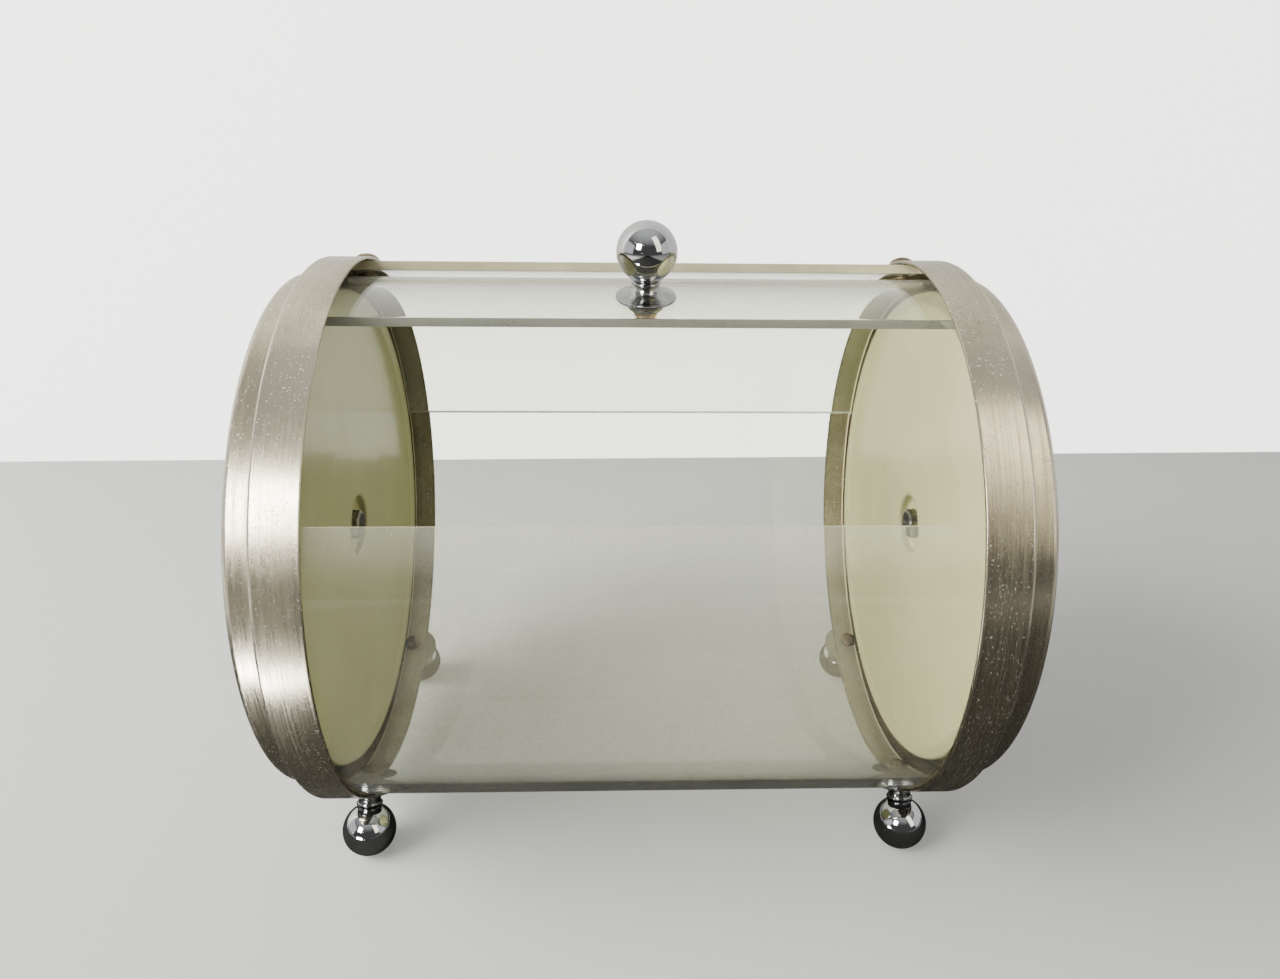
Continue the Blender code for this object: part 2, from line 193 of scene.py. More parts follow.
class Shader:
    """A material's or world's node tree, with short calls for the nodes that it uses."""

    def __init__(self, name, library="materials"):
        self.data = getattr(bpy.data, library).new(name)
        self.data.use_nodes = True
        self.tree = self.data.node_tree
        self.principled = self.tree.nodes.get("Principled BSDF")
        self.output = self.tree.nodes.get("Material Output")

    def node(self, kind, **settings):
        made = self.tree.nodes.new(kind)
        for name, value in settings.items():
            setattr(made, name, value)
        return made

    def join(self, value, socket):
        """Link an output to a socket, or set a plain value on it."""
        if isinstance(value, bpy.types.NodeSocket):
            self.tree.links.new(value, socket)
        elif isinstance(value, tuple) and len(value) == 3 and socket.type == "RGBA":
            socket.default_value = (*value, 1.0)
        else:
            socket.default_value = value

    def place(self):
        """A point's place in the drum's own frame, as one vector."""
        return self.node("ShaderNodeTexCoord").outputs["Object"]

    def from_axis(self):
        """A point's place from the drum's axis: x, y and height."""
        parts = self.node("ShaderNodeSeparateXYZ")
        self.join(self.place(), parts.inputs[0])
        height = self.math("SUBTRACT", parts.outputs["Z"], AXIS_HEIGHT)
        return parts.outputs["X"], parts.outputs["Y"], height

    def combine(self, x, y, z):
        made = self.node("ShaderNodeCombineXYZ")
        for value, socket in zip((x, y, z), made.inputs):
            self.join(value, socket)
        return made.outputs[0]

    def math(self, operation, first, second=0.0, third=0.0):
        made = self.node("ShaderNodeMath", operation=operation)
        for value, socket in zip((first, second, third), made.inputs):
            self.join(value, socket)
        return made.outputs[0]

    def times(self, first, second):
        return self.math("MULTIPLY", first, second)

    def plus(self, first, second):
        return self.math("ADD", first, second)

    def noise(self, scale, detail, roughness, vector=None):
        """Cloudy noise about 0.5, with its scale in cells per metre."""
        made = self.node("ShaderNodeTexNoise")
        self.join(self.place() if vector is None else vector, made.inputs["Vector"])
        made.inputs["Scale"].default_value = scale
        made.inputs["Detail"].default_value = detail
        made.inputs["Roughness"].default_value = roughness
        return made.outputs[0]

    def span(self, value, low, high, out_low=0.0, out_high=1.0):
        """Carry a value from one range to another, held within it."""
        made = self.node("ShaderNodeMapRange")
        self.join(value, made.inputs["Value"])
        made.inputs["From Min"].default_value = low
        made.inputs["From Max"].default_value = high
        made.inputs["To Min"].default_value = out_low
        made.inputs["To Max"].default_value = out_high
        return made.outputs["Result"]

    def spots(self, texture, levels, amounts=(0.0, 1.0)):
        """Noise of a (scale, detail, roughness), cut off between two levels."""
        return self.span(self.noise(*texture), *levels, *amounts)

    def blend(self, amount, first, second):
        """Mix two colours."""
        made = self.node("ShaderNodeMix", data_type="RGBA")
        colours = [socket for socket in made.inputs if socket.type == "RGBA"]
        self.join(amount, made.inputs["Factor"])
        self.join(first, colours[0])
        self.join(second, colours[1])
        return [socket for socket in made.outputs if socket.type == "RGBA"][0]

    def bump(self, height, strength, distance, under=None):
        made = self.node("ShaderNodeBump")
        made.inputs["Strength"].default_value = strength
        made.inputs["Distance"].default_value = distance
        self.join(height, made.inputs["Height"])
        if under is not None:
            self.join(under, made.inputs["Normal"])
        return made.outputs["Normal"]

    def surface(self, **values):
        """Set or link the Principled shader's sockets, named with underscores for spaces."""
        for name, value in values.items():
            self.join(value, self.principled.inputs[name.replace("_", " ")])

    def mirrored(self):
        """0 where the eye looks, straight or through clear sheet, and 1 after any reflection."""
        path = self.node("ShaderNodeLightPath").outputs
        return self.math("MINIMUM", self.plus(path["Glossy Depth"], path["Diffuse Depth"]), 1.0)

    def lighting(self):
        """1 for light on its way to a dull surface."""
        return self.node("ShaderNodeLightPath").outputs["Is Diffuse Ray"]

    def mix_shaders(self, amount, first, second):
        made = self.node("ShaderNodeMixShader")
        for value, socket in zip((amount, first, second), made.inputs):
            self.join(value, socket)
        return made.outputs[0]

    def length(self, first, second):
        """Length of the diagonal over two sides."""
        return self.math("SQRT", self.plus(self.times(first, first), self.times(second, second)))

    def station_and_radius(self):
        """A point's distance along the drum from its middle, and its distance from the axis."""
        x, y, height = self.from_axis()
        return self.math("ABSOLUTE", x), self.length(y, height)

    def near_ring(self, station, radius, near, far):
        """1 within one distance of a ring about the drum's axis, fading to 0 at another."""
        at, out = self.station_and_radius()
        along = self.math("SUBTRACT", at, station)
        across = self.math("SUBTRACT", out, radius)
        return self.span(self.length(along, across), near, far, 1.0, 0.0)

    def turned_lines(self, pitch, length):
        """Fine lines that run round the drum's axis, on its bands and on its flat ends alike."""
        _, y, height = self.from_axis()
        across = self.plus(*self.station_and_radius())
        slow = pitch / length
        vector = self.combine(across, self.times(y, slow), self.times(height, slow))
        return self.noise(1.0 / pitch, 5.0, 0.75, vector)


def nickel(name, bright, dull, base_roughness, wear):
    """Spun metal: turned lines, tarnish, pits, pale dust, polished worn edges with a painted
    highlight, and painted shade in its creases.
    """
    shader = Shader(name)
    fine = shader.turned_lines(*FINE_LINES)
    wide = shader.turned_lines(*WIDE_LINES)
    clouds = shader.noise(24.0, 7.0, 0.62)
    patches = shader.spots((34.0, 3.0, 0.5), (0.42, 0.60), (0.25, 1.0))
    lines = shader.times(shader.span(fine, 0.45, 0.60), patches)
    upper_half = shader.span(shader.from_axis()[2], 0.0, 0.07)
    pitted = shader.times(shader.spots((40.0, 4.0, 0.6), (0.46, 0.62)), upper_half)
    pits = shader.times(shader.spots((1900.0, 3.0, 0.6), (0.59, 0.66)), pitted)
    dust = shader.spots((1500.0, 2.0, 0.5), (0.64, 0.69), (0.0, 0.85))
    colour = shader.blend(shader.span(clouds, 0.36, 0.66, 0.0, wear), bright, dull)
    colour = shader.blend(shader.times(lines, 0.42), colour, dull)
    colour = shader.blend(shader.times(pits, 0.80), colour, NICKEL_PIT)
    colour = shader.blend(dust, colour, NICKEL_DUST)
    # Lighter rings on the rounded lips of the band and the cap: worn edges, with a painted
    # highlight.
    for station, radius, near, far in (
            (BAND_END - 0.0004, RIM_RADIUS - 0.0004, 0.0002, 0.0011),
            (CAP_END - 0.0009, STEP_RADIUS - 0.0009, 0.0004, 0.0018)):
        edge = shader.near_ring(station, radius, near, far)
        colour = shader.blend(shader.times(edge, 0.75), colour, NICKEL_WORN_EDGE_HIGHLIGHT)
    # Painted shade: darker, patchy rings in the crease under the step and in the inner corner of
    # the rim, where shade falls.
    for station, radius, near, far in (
            (BAND_END, STEP_RADIUS, 0.0006, 0.0022), (RIM_STATION, RIM_BORE, 0.0003, 0.0010)):
        corner = shader.near_ring(station, radius, near, far)
        uneven = shader.spots((90.0, 5.0, 0.6), (0.30, 0.62), (0.95, 0.55))
        colour = shader.blend(shader.times(corner, uneven), colour, NICKEL_CREASE_SHADE)
    rough = shader.plus(
        shader.span(clouds, 0.35, 0.70, base_roughness, base_roughness + 0.12),
        shader.times(lines, 0.12))
    normal = shader.bump(fine, 0.26, 0.00010)
    normal = shader.bump(wide, 0.06, 0.0003, normal)
    normal = shader.bump(shader.times(pits, -1.0), 0.4, 0.0001, normal)
    bare = shader.math("SUBTRACT", 1.0, dust)
    shader.surface(Base_Color=colour, Metallic=bare, Roughness=rough, Normal=normal)
    return shader.data


def chrome_plate(name, bright, smoothness, wear):
    """Bright plating with smears, and with pits where it is worn."""
    shader = Shader(name)
    smear = shader.noise(180.0, 5.0, 0.65)
    pits = shader.spots((1500.0, 3.0, 0.6), (0.70 - 0.07 * wear, 0.76 - 0.07 * wear))
    smeared = shader.span(smear, 0.42, 0.70, 0.0, 0.60 * wear)
    colour = shader.blend(smeared, bright, CHROME_SMEAR)
    colour = shader.blend(pits, colour, CHROME_PIT)
    rough = shader.span(smear, 0.40, 0.75, smoothness, smoothness + 0.05 + 0.14 * wear)
    normal = shader.bump(pits, 0.25, 0.0001)
    waves = shader.noise(420.0, 2.0, 0.5)
    normal = shader.bump(waves, 0.03 + 0.05 * wear, 0.0003, normal)
    shader.surface(Base_Color=colour, Metallic=1.0, Roughness=rough, Normal=normal)
    return shader.data


def cream_enamel():
    """Glossy cream paint, aged in clouds, with painted shade towards its rim, on its rolled edge
    and round the bolt.
    """
    shader = Shader("cream_gloss_paint")
    radius = shader.station_and_radius()[1]
    clouds = shader.spots((16.0, 6.0, 0.6), (0.35, 0.70))
    colour = shader.blend(clouds, CREAM_FRESH, CREAM_AGED)
    # Painted shade: the paint darkens towards the rim, where the metal cap shades the disc.
    rim_shade = shader.span(radius, DISC_RADIUS - 0.006, DISC_RADIUS - 0.0015, 0.0, 0.35)
    colour = shader.blend(rim_shade, colour, CREAM_RIM_SHADE)
    # Painted shade: a dark line on the rolled edge, in the gap between the disc and the rim.
    roll = shader.span(radius, DISC_RADIUS - 0.0009, DISC_RADIUS - 0.0002, 0.0, 0.60)
    colour = shader.blend(roll, colour, CREAM_ROLL_SHADE)
    # Painted shade: darker paint round the dimple, in its recess.
    well_shade = shader.near_ring(DISC_CENTRE_STATION + 0.0012, DIMPLE_RADIUS, 0.0007, 0.0020)
    colour = shader.blend(shader.times(well_shade, 0.7), colour, CREAM_WELL_SHADE)
    dirt = shader.spots((900.0, 3.0, 0.6), (0.66, 0.74), (0.0, 0.4))
    colour = shader.blend(dirt, colour, CREAM_DIRT)
    rough = shader.spots((18.0, 2.0, 0.5), (0.30, 0.70), (0.20, 0.26))
    normal = shader.bump(shader.noise(120.0, 2.0, 0.5), 0.012, 0.0004)
    shader.surface(Base_Color=colour, Roughness=rough, Normal=normal)
    shader.surface(Coat_Weight=0.35, Coat_Roughness=0.08)
    return shader.data


def scratches(shader):
    """Sparse fine scratches along the drum and round it, from 0 to 1."""
    x, y, height = shader.from_axis()
    slow = 0.04
    round_drum = shader.combine(x, shader.times(y, slow), shader.times(height, slow))
    along_drum = shader.combine(shader.times(x, slow), y, height)
    first = shader.spots((1300.0, 2.0, 0.6, round_drum), (0.72, 0.77))
    second = shader.spots((1100.0, 2.0, 0.6, along_drum), (0.72, 0.77))
    worn = shader.spots((14.0, 2.0, 0.5), (0.50, 0.64))
    underside = shader.span(height, -0.07, -0.09)
    return shader.times(shader.math("MAXIMUM", first, second), shader.plus(worn, underside))


def clear_sheet(name, tint, roughness, haze, haze_colour, passing_colour):
    """Clear plastic: refracting, with scratches, specks, a thin veil and dust low down."""
    shader = Shader(name)
    scratch = scratches(shader)
    dust = shader.spots((2100.0, 2.0, 0.5), (0.69, 0.73))
    veil = shader.spots((26.0, 6.0, 0.65), (0.38, 0.72), haze)
    _, y, height = shader.from_axis()
    low = shader.math("SUBTRACT", 1.0, shader.span(height, -0.095, -0.068))
    settled = shader.times(low, shader.spots((420.0, 6.0, 0.75), (0.36, 0.66), (0.03, 0.17)))
    front_edge = shader.times(
        shader.span(height, 0.030, 0.0445), shader.span(y, -0.07, -0.08))
    prints = shader.spots((1100.0, 5.0, 0.8), (0.40, 0.64), (0.03, 0.15))
    handled = shader.times(front_edge, prints)
    facing = shader.node("ShaderNodeLayerWeight").outputs["Facing"]
    grazing = shader.times(shader.math("POWER", facing, 7.0), 0.34)
    amount = shader.plus(veil, shader.times(scratch, 0.17))
    amount = shader.plus(amount, shader.times(dust, 0.22))
    amount = shader.plus(amount, shader.plus(settled, handled))
    amount = shader.plus(amount, grazing)
    rough = shader.plus(shader.times(scratch, 0.2), roughness)
    normal = shader.bump(shader.noise(30.0, 1.0, 0.5), 0.002, 0.0008)
    shader.surface(Base_Color=tint, Roughness=rough, Normal=normal)
    shader.surface(IOR=1.49, Transmission_Weight=1.0)
    film = shader.node("ShaderNodeBsdfDiffuse")
    shader.join(shader.blend(low, haze_colour, SETTLED_DUST), film.inputs["Color"])
    body = shader.mix_shaders(amount, shader.principled.outputs[0], film.outputs[0])
    passing = shader.node("ShaderNodeBsdfTransparent")
    shader.join(passing_colour, passing.inputs["Color"])
    shadow = shader.node("ShaderNodeLightPath").outputs["Is Shadow Ray"]
    whole = shader.mix_shaders(shadow, body, passing.outputs[0])
    shader.join(whole, shader.output.inputs["Surface"])
    return shader.data


def plain_metal(name, bright, dull, roughness):
    """Dull plated or plain metal, clouded and finely pitted."""
    shader = Shader(name)
    clouds = shader.spots((260.0, 6.0, 0.65), (0.35, 0.68))
    colour = shader.blend(clouds, bright, dull)
    rough = shader.span(clouds, 0.0, 1.0, roughness, roughness + 0.2)
    normal = shader.bump(shader.noise(1600.0, 3.0, 0.6), 0.12, 0.0002)
    shader.surface(Base_Color=colour, Metallic=1.0, Roughness=rough, Normal=normal)
    return shader.data


# ---------------------------------------------------------------- shapes

def arc(centre, radius, start, end, count):
    """Points of a round stretch of an outline: centre (along, radius), angles in degrees."""
    points = []
    for index in range(count + 1):
        turn = math.radians(start + (end - start) * index / count)
        points.append((centre[0] + radius * math.cos(turn), centre[1] + radius * math.sin(turn)))
    return points


def eased(points, count):
    """A smooth run through (along, radius) points."""
    ends = [points[0]] + points + [points[-1]]
    run = []
    for index in range(1, len(ends) - 2):
        before, start, end, after = (Vector(point) for point in ends[index - 1:index + 3])
        for step in range(count):
            part = step / count
            run.append(tuple(0.5 * (
                2.0 * start + (end - before) * part
                + (2.0 * before - 5.0 * start + 4.0 * end - after) * part ** 2
                + (3.0 * start - before - 3.0 * end + after) * part ** 3)))
    run.append(tuple(points[-1]))
    return run


def add_piece(name, mesh, finishes, body, nodes, place, choose=None):
    """Close a bmesh into a piece that rides on a body and stands for CAD nodes."""
    bmesh.ops.recalc_face_normals(mesh, faces=mesh.faces)
    bmesh.ops.transform(mesh, matrix=place, verts=mesh.verts)
    if choose is not None:
        for face in mesh.faces:
            face.material_index = choose(face)
    data = bpy.data.meshes.new(name)
    mesh.to_mesh(data)
    mesh.free()
    data.shade_smooth()
    data.set_sharp_from_angle(angle=math.radians(CREASE_ANGLE))
    for finish in finishes:
        data.materials.append(finish)
    piece = bpy.data.objects.new(name, data)
    bpy.context.scene.collection.objects.link(piece)
    weighting = piece.modifiers.new("weighted_normals", "WEIGHTED_NORMAL")
    weighting.keep_sharp = True
    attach(piece, body)
    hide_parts(*nodes)


def turned_mesh(outline, steps):
    """Turn a closed outline of (along, radius) points about Z."""
    mesh = bmesh.new()
    rings = []
    for along, radius in outline:
        if radius < ON_AXIS:
            rings.append([mesh.verts.new((0.0, 0.0, along))])
            continue
        ring = []
        for step in range(steps):
            turn = 2.0 * math.pi * step / steps
            ring.append(mesh.verts.new((radius * math.cos(turn), radius * math.sin(turn), along)))
        rings.append(ring)
    for first, second in zip(rings, rings[1:] + rings[:1]):
        if len(first) == 1 and len(second) == 1:
            continue
        for step in range(steps):
            corners = [ring[index % len(ring)] for ring, index in (
                (first, step), (first, step + 1), (second, step + 1), (second, step))]
            mesh.faces.new(list(dict.fromkeys(corners)))
    return mesh


def along_axis(side):
    """Frame on the drum's axis whose local Z runs out on one side."""
    middle = Matrix.Translation((0.0, 0.0, AXIS_HEIGHT))
    return middle @ Matrix.Rotation(side * math.pi / 2.0, 4, "Y")


def radial(station, angle):
    """Frame on the drum's axis whose local Z points straight out of the drum at an angle."""
    turn = math.radians(90.0 - angle)
    return Matrix.Translation((station, 0.0, AXIS_HEIGHT)) @ Matrix.Rotation(turn, 4, "X")


def hexagon_reach(width, turn):
    """Distance from a hexagon's middle to its edge in one direction, from its width."""
    sector = turn % (math.pi / 3.0) - math.pi / 6.0
    return width / 2.0 / math.cos(sector)


def hexagon_mesh(rings, closed):
    """Walls between rings of (along, width, largest radius). No width makes a round ring."""
    mesh = bmesh.new()
    loops = []
    for along, width, largest in rings:
        loop = []
        for step in range(SMALL_STEPS):
            turn = 2.0 * math.pi * step / SMALL_STEPS
            reach = largest if width is None else min(hexagon_reach(width, turn), largest)
            loop.append(mesh.verts.new((reach * math.cos(turn), reach * math.sin(turn), along)))
        loops.append(loop)
    following = loops[1:] + (loops[:1] if closed else [])
    for first, second in zip(loops, following):
        for step in range(SMALL_STEPS):
            after = (step + 1) % SMALL_STEPS
            mesh.faces.new((first[step], first[after], second[after], second[step]))
    if not closed:
        mesh.faces.new(loops[0])
        mesh.faces.new(loops[-1])
    return mesh


def outward_at(face):
    """Direction straight out from the drum's axis at the middle of a face."""
    middle = face.calc_center_median()
    return Vector((0.0, middle.y, middle.z - AXIS_HEIGHT)).normalized()


def curved_sheet(name, radii, angles, half_length, finishes, body):
    """A sheet bent round the drum's axis, with softened cut edges in their own finish."""
    inner, outer = radii
    mesh = bmesh.new()
    sections = []
    corners = (
        (-half_length, outer), (half_length, outer), (half_length, inner), (-half_length, inner))
    for step in range(SHEET_STEPS + 1):
        turn = math.radians(angles[0] + (angles[1] - angles[0]) * step / SHEET_STEPS)
        sections.append([
            mesh.verts.new((along, -radius * math.cos(turn), radius * math.sin(turn)))
            for along, radius in corners])
    for first, second in zip(sections, sections[1:]):
        for side in range(4):
            after = (side + 1) % 4
            mesh.faces.new((first[side], first[after], second[after], second[side]))
    mesh.faces.new(sections[0])
    mesh.faces.new(sections[-1])
    bmesh.ops.recalc_face_normals(mesh, faces=mesh.faces)
    creases = [edge for edge in mesh.edges if edge.calc_face_angle(0.0) > 1.0]
    bmesh.ops.bevel(
        mesh, geom=creases, offset=SHEET_EDGE_ROUND, segments=2, profile=0.5, affect="EDGES")

    def is_cut_edge(face):
        return int(abs(face.normal.dot(outward_at(face))) < 0.9)

    place = Matrix.Translation((0.0, 0.0, AXIS_HEIGHT))
    node = name.replace("_sheet", "")
    add_piece(name, mesh, finishes, body, [node], place, is_cut_edge)


# ---------------------------------------------------------------- the drum's ends

def end_cap(side, word, finishes):
    """A spun metal cap: a wide band with a rounded lip, a step with a fillet, a narrow band."""
    lip = METAL / 2.0 - 0.0001
    band_centre = (BAND_END - BAND_EDGE_ROUND, RIM_RADIUS - BAND_EDGE_ROUND)
    edge_centre = (CAP_END - CAP_EDGE_ROUND, STEP_RADIUS - CAP_EDGE_ROUND)
    fillet_centre = (BAND_END + CAP_FILLET, STEP_RADIUS + CAP_FILLET)
    outline = arc((RIM_STATION + lip, RIM_BORE + lip), lip, 270.0, 180.0, 4)
    outline += arc((RIM_STATION + lip, RIM_RADIUS - lip), lip, 180.0, 90.0, 4)
    outline += arc(band_centre, BAND_EDGE_ROUND, 90.0, 0.0, 8)
    outline += arc(fillet_centre, CAP_FILLET, 180.0, 270.0, 4)
    outline += arc(edge_centre, CAP_EDGE_ROUND, 90.0, 0.0, 10)
    outline += [(CAP_END, BOLT_HOLE), (CAP_END - METAL, BOLT_HOLE)]
    outline += arc(edge_centre, CAP_EDGE_ROUND - METAL, 0.0, 90.0, 4)
    outline += [(BAND_END - METAL, STEP_RADIUS - METAL), (BAND_END - METAL, RIM_BORE)]

    # Faces that look into the drum take a darker copy of the nickel, which paints shade on them.
    def is_inside(face):
        inward = face.normal.dot(outward_at(face)) < -0.3 or face.normal.x * side < -0.5
        return int(inward and face.calc_center_median().x * side > RIM_STATION + METAL)

    add_piece(
        word + "_metal_cap", turned_mesh(outline, DRUM_STEPS),
        [finishes["nickel"], finishes["nickel_shaded_inside"]], "housing",
        [word + "_end_cap"], along_axis(side), is_inside)


def inner_disc(side, word, finishes):
    """A pressed cream pan, gently dished, with a rolled edge and a dimple round the bolt."""
    flange_end = CAP_END - METAL - FIT_GAP
    roll_centre = (DISC_EDGE_STATION + DISC_ROLL, DISC_RADIUS - DISC_ROLL)
    lip_centre = (DISC_CENTRE_STATION + DIMPLE_ROUND, DIMPLE_RADIUS + DIMPLE_ROUND)
    floor_centre = (DIMPLE_FLOOR - DIMPLE_ROUND, DIMPLE_RADIUS - DIMPLE_LIP)
    outline = [(flange_end, DISC_RADIUS)]
    outline += arc(roll_centre, DISC_ROLL, 90.0, 180.0, 10)
    inside_roll = DISC_RADIUS - DISC_ROLL
    outline += eased([
        (DISC_EDGE_STATION + 0.0002, inside_roll - 0.0010),
        (DISC_EDGE_STATION + 0.0009, inside_roll - 0.0030),
        (DISC_CENTRE_STATION - 0.0006, inside_roll - 0.0085),
        (DISC_CENTRE_STATION, 0.0550),
        (DISC_CENTRE_STATION, DIMPLE_RADIUS + 0.0040)], 6)
    outline += arc(lip_centre, DIMPLE_ROUND, 180.0, 270.0, 5)
    outline += arc(floor_centre, DIMPLE_ROUND, 90.0, 0.0, 5)
    outline += [(DIMPLE_FLOOR, BOLT_HOLE), (DIMPLE_FLOOR + DISC_SHEET, BOLT_HOLE)]
    outline += [(DIMPLE_FLOOR + DISC_SHEET, DIMPLE_RADIUS)]
    outline += [(DISC_CENTRE_STATION + DISC_SHEET, DIMPLE_RADIUS + 1.6 * DIMPLE_LIP)]
    outline += arc(roll_centre, DISC_ROLL - DISC_SHEET, 180.0, 90.0, 4)
    outline += [(flange_end, DISC_RADIUS - DISC_SHEET)]
    add_piece(
        word + "_cream_disc", turned_mesh(outline, DRUM_STEPS), [finishes["cream"]],
        "housing", [word + "_inner_disc"], along_axis(side))


def centre_fixing(side, word, finishes):
    """The bolt through the dimple, its spacer, and the washer and domed nut outside."""
    back = DIMPLE_FLOOR - FIT_GAP
    front = back - BOLT_HEAD_HEIGHT
    tip = CAP_END + FIT_GAP + WASHER_THICKNESS + FIT_GAP + CAP_NUT_SKIRT
    width = BOLT_HEAD_WIDTH
    bolt = hexagon_mesh([
        (front, None, 0.43 * width), (front + 0.0001, width, 0.46 * width),
        (front + 0.0007, width, 0.56 * width), (back - 0.0003, width, 0.58 * width),
        (back, width, 0.55 * width), (back, None, BOLT_RADIUS), (tip, None, BOLT_RADIUS)], False)
    turn = Matrix.Rotation(math.radians(14.0 if side < 0 else 31.0), 4, "Z")
    add_piece(
        word + "_bolt", bolt, [finishes["steel"]], "housing",
        [word + "_centre_bolt"], along_axis(side) @ turn)
    inside = DIMPLE_FLOOR + DISC_SHEET + FIT_GAP
    outside = CAP_END - METAL - FIT_GAP
    spacer = [
        (inside, BOLT_HOLE), (inside, SPACER_RADIUS),
        (outside, SPACER_RADIUS), (outside, BOLT_HOLE)]
    add_piece(
        word + "_spacer", turned_mesh(spacer, SMALL_STEPS), [finishes["steel"]], "housing",
        [word + "_centre_spacer"], along_axis(side))
    seat = CAP_END + FIT_GAP
    top = seat + WASHER_THICKNESS
    washer = [
        (seat, BOLT_HOLE), (seat, WASHER_RADIUS - 0.0001), (seat + 0.0001, WASHER_RADIUS),
        (top - 0.0003, WASHER_RADIUS), (top, WASHER_RADIUS - 0.0003), (top, BOLT_HOLE)]
    add_piece(
        word + "_washer", turned_mesh(washer, SMALL_STEPS), [finishes["worn_chrome"]], "housing",
        [word + "_outer_washer"], along_axis(side))
    nut_seat = top + FIT_GAP
    skirt = nut_seat + CAP_NUT_SKIRT
    floor = skirt + CAP_NUT_FLOOR
    across = 2.0 * CAP_NUT_RADIUS * math.cos(math.pi / 6.0)
    nut_rings = [
        (nut_seat, None, BOLT_HOLE), (nut_seat, across, 0.0053),
        (nut_seat + 0.0004, across, CAP_NUT_RADIUS), (skirt - 0.0006, across, CAP_NUT_RADIUS),
        (skirt, across, 0.0052)]
    for along, radius in arc((skirt, 0.0), CAP_NUT_DOME, 84.0, 6.0, 12):
        nut_rings.append((along, None, radius))
    nut_rings += [
        (skirt + CAP_NUT_DOME, None, NUT_TIP_RADIUS), (floor, None, NUT_TIP_RADIUS),
        (floor, None, BOLT_HOLE)]
    add_piece(
        word + "_domed_nut", hexagon_mesh(nut_rings, True), [finishes["chrome"]], "housing",
        [word + "_cap_nut"], along_axis(side))


# ---------------------------------------------------------------- screws, balls and necks

def slotted_screw(name, end, head, turn, finish, body, node, place):
    """A round-head screw with a sawn slot, its head inwards and its shank outwards."""
    seat, radius, height = head
    crown = seat - height
    outline = [(crown, 0.0)]
    for index in range(1, 9):
        lean = math.radians(90.0 * index / 9.0)
        drop = 0.75 * height * (1.0 - math.cos(lean))
        outline.append((crown + drop, radius * math.sin(lean)))
    outline += [(crown + 0.8 * height, radius), (seat, radius), (seat, SHANK_RADIUS)]
    outline += [(end - 0.0004, SHANK_RADIUS), (end, SHANK_RADIUS - 0.0004), (end, 0.0)]
    blank = turned_mesh(outline, SMALL_STEPS)
    bmesh.ops.recalc_face_normals(blank, faces=blank.faces)
    saw = bmesh.new()
    bmesh.ops.create_cube(saw, size=1.0)
    bmesh.ops.scale(saw, verts=saw.verts, vec=(3.0 * radius, SLOT_WIDTH, 1.1 * height))
    bmesh.ops.translate(saw, verts=saw.verts, vec=(0.0, 0.0, crown))
    helpers = []
    for helper_name, mesh in (("screw_blank", blank), ("screw_saw", saw)):
        data = bpy.data.meshes.new(helper_name)
        mesh.to_mesh(data)
        mesh.free()
        helper = bpy.data.objects.new(helper_name, data)
        bpy.context.scene.collection.objects.link(helper)
        helpers.append(helper)
    cut = helpers[0].modifiers.new("slot", "BOOLEAN")
    cut.object = helpers[1]
    cut.operation = "DIFFERENCE"
    cut.solver = "EXACT"
    bpy.context.view_layer.update()
    sawn = helpers[0].evaluated_get(bpy.context.evaluated_depsgraph_get())
    made = bmesh.new()
    made.from_mesh(sawn.data)
    for helper in helpers:
        bpy.data.objects.remove(helper)
    spin = Matrix.Rotation(math.radians(turn), 4, "Z")
    add_piece(name, made, [finish], body, [node], place @ spin)


def ball_base(name, finish, body, node, place, seat):
    """The flanged neck under a ball: a thin flange, a hollow neck and a bead at the top."""
    outline = [(0.0, SHANK_HOLE), (0.0, BASE_RADIUS - 0.0004), (0.0002, BASE_RADIUS - 0.0001)]
    outline += [(0.0005, BASE_RADIUS), (0.0008, BASE_RADIUS - 0.0001)]
    outline += [(BASE_FLANGE, BASE_RADIUS - 0.0005)]
    outline += eased([
        (BASE_FLANGE + 0.0001, 0.90 * BASE_RADIUS), (BASE_FLANGE + 0.0005, 0.72 * BASE_RADIUS),
        (0.0028, 0.0051), (0.0040, 0.0042), (0.0048, 0.0041)], 5)
    outline += arc((BEAD_HEIGHT, COLLAR - BEAD_RADIUS), BEAD_RADIUS, 180.0, 0.0, 8)
    outline += [(BASE_HEIGHT, COLLAR - 0.0010), (BASE_HEIGHT, SHANK_HOLE)]
    add_piece(
        name, turned_mesh(outline, SMALL_STEPS), [finish], body, [node],
        place @ Matrix.Translation((0.0, 0.0, seat)))


def ball(name, finish, body, node, place, stands):
    """A turned ball with a small flat under its neck, and a level flat where it stands."""
    start = 180.0 - math.degrees(math.asin(BALL_SEAT_RADIUS / BALL_RADIUS))
    outline = [(BALL_HOLE_END, 0.0), (BALL_HOLE_END, SHANK_HOLE), (-BALL_SEAT, SHANK_HOLE)]
    outline += arc((0.0, 0.0), BALL_RADIUS, start, 2.5, 40)
    outline += [(BALL_RADIUS, 0.0)]
    mesh = turned_mesh(outline, BALL_STEPS)
    if stands:
        into_local = place.to_3x3().inverted()
        floor = into_local @ (Vector((0.0, 0.0, 0.0)) - place.to_translation())
        down = into_local @ Vector((0.0, 0.0, -1.0))
        geometry = mesh.verts[:] + mesh.edges[:] + mesh.faces[:]
        flat = bmesh.ops.bisect_plane(
            mesh, geom=geometry, plane_co=floor, plane_no=down, clear_outer=True)
        rim = [item for item in flat["geom_cut"] if isinstance(item, bmesh.types.BMEdge)]
        bmesh.ops.contextual_create(mesh, geom=rim)
    add_piece(name, mesh, [finish], body, [node], place)


